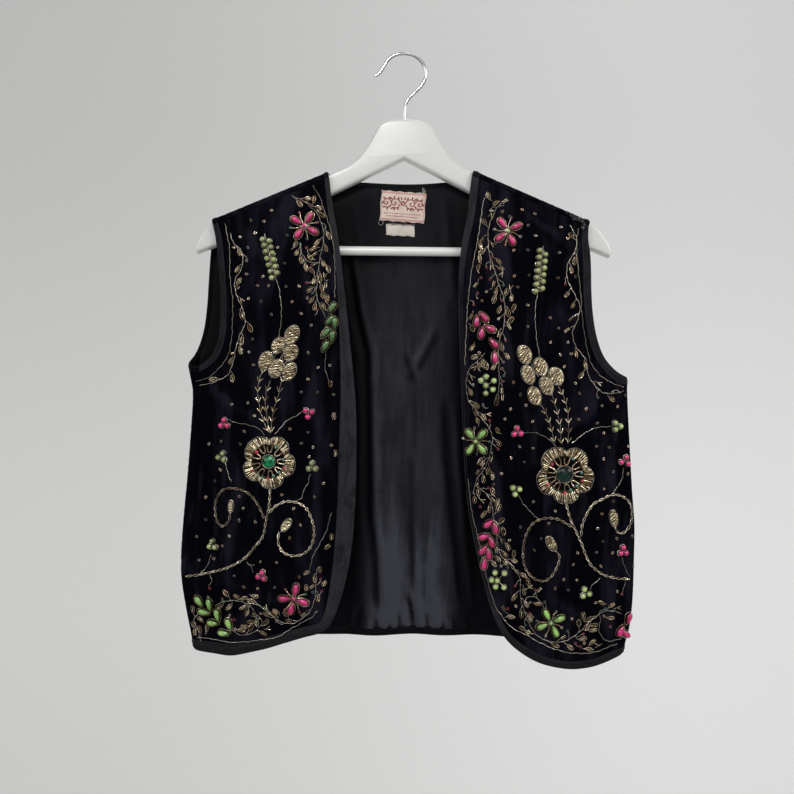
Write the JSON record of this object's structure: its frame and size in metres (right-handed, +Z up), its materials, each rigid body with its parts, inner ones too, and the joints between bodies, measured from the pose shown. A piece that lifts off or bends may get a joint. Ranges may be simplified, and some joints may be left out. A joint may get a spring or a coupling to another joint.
{
  "type": "embroidered waistcoat on a hanger",
  "caption": "Open velvet waistcoat with bound edges and beaded gold embroidery, hanging on a wooden hanger with a steel hook and a trouser rail.",
  "frame": {"origin": "inner top of the hanger's hook, where a rail or nail carries it", "axes": "+X to the viewer's right, +Y away from the viewer through the waistcoat's back, +Z up"},
  "size_m": [0.4702, 0.0343, 0.6374],
  "materials": {
    "velvet": "near-black navy cotton velvet, soft pile with a grey sheen on its folds",
    "lining": "charcoal satin-weave lining, faintly lustrous and creased",
    "binding": "charcoal bias binding in a fine plain weave, machine stitched",
    "label_cloth": "cream woven label with pink borders and no text",
    "gold_thread": "antique gold metal thread, couched and coiled",
    "pink_bead": "pearled magenta bead",
    "green_bead": "pearled leaf-green bead",
    "green_jewel": "emerald green cut stone",
    "white_lacquer": "smooth white lacquer on wood",
    "polished_steel": "bright bent steel wire"
  },
  "bodies": {
    "root": {"front_left": "velvet", "front_right": "velvet", "back": "velvet", "back_lining": "lining", "binding_front_left": "binding", "binding_front_right": "binding", "binding_back_neck": "binding", "binding_back_hem": "binding", "binding_armhole_front_left": "binding", "binding_armhole_front_right": "binding", "binding_armhole_back_left": "binding", "binding_armhole_back_right": "binding", "label_main": "label_cloth", "label_size": "label_cloth", "hanger_body": "white_lacquer", "hanger_bar": "white_lacquer", "hanger_hook": "polished_steel"}
  },
  "joints": []
}
